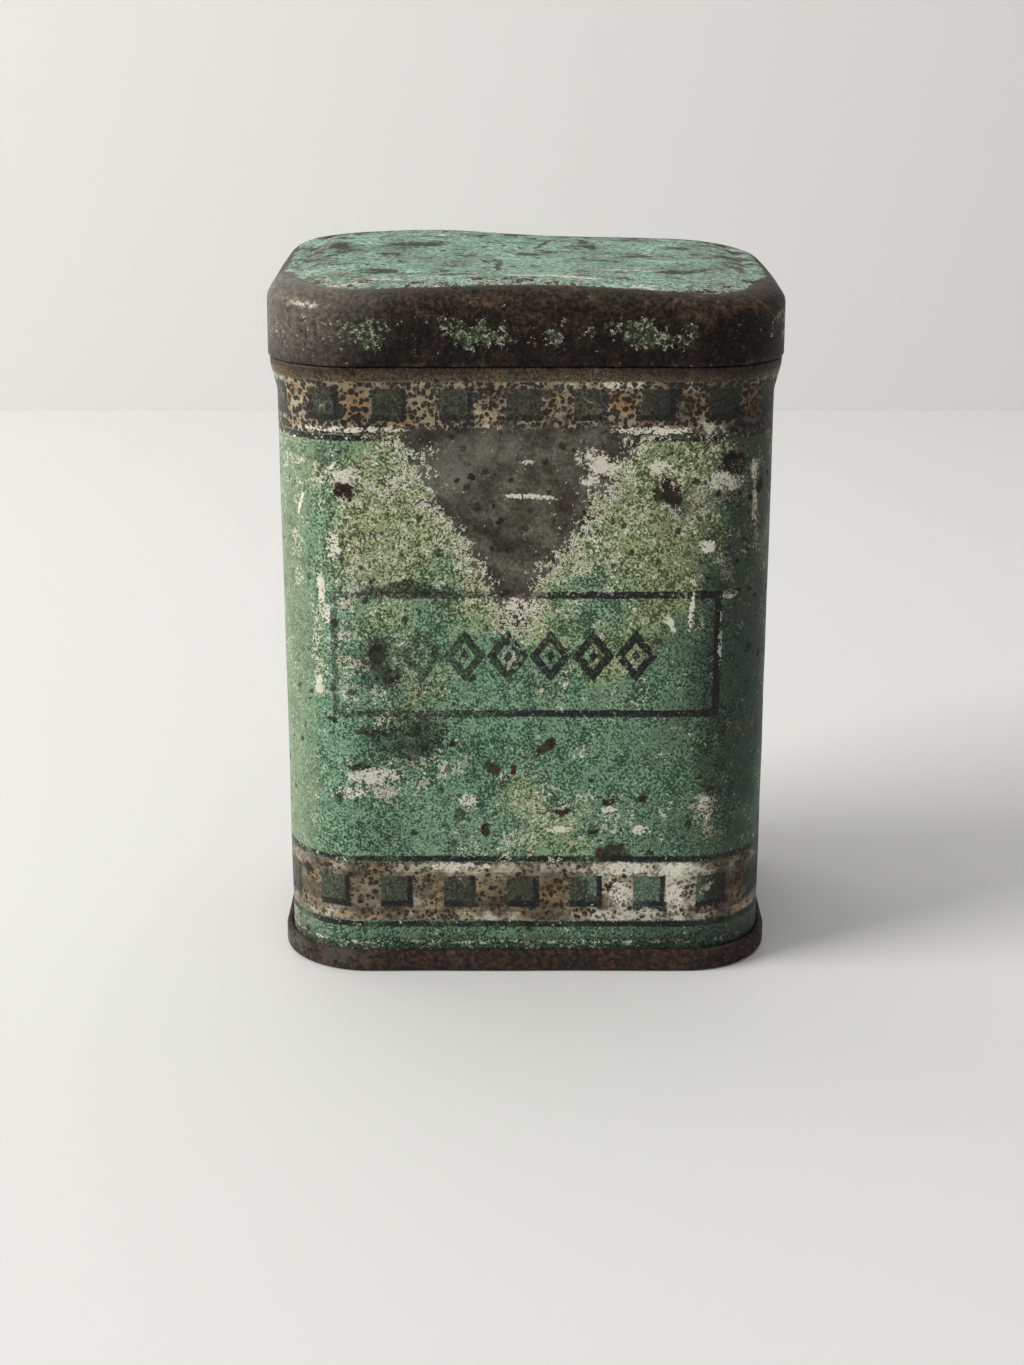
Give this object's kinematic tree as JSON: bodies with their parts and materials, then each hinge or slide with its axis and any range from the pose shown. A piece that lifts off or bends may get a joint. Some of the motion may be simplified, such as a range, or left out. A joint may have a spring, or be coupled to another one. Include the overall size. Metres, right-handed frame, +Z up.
{
  "type": "spice tin",
  "caption": "Upright rounded-rectangle tinplate spice tin with worn printed decoration, a double-seamed sunk base and a lift-off slip lid.",
  "frame": {"origin": "middle of the base seam's footprint, on the table", "axes": "+Z up through the lid, +Y from the printed front to the back wall with the side seam, +X to the right as seen from the front"},
  "size_m": [0.0588, 0.0428, 0.0842],
  "materials": {
    "printed_body": "green and cream printed tinplate, worn and stained, satin",
    "rusted_base": "dark brown rusted tinplate with traces of green, satin",
    "worn_lid": "teal-green enamel worn to dark brown metal on the skirt and edges, satin"
  },
  "bodies": {
    "tin": {"body_wall": "printed_body", "base_end": "rusted_base"},
    "lid": {"lid": "worn_lid"}
  },
  "joints": [
    {"name": "lid_lift", "type": "slide", "parent": "tin", "child": "lid", "axis": [0, 0, 1], "range_m": [0, 0.06]}
  ]
}
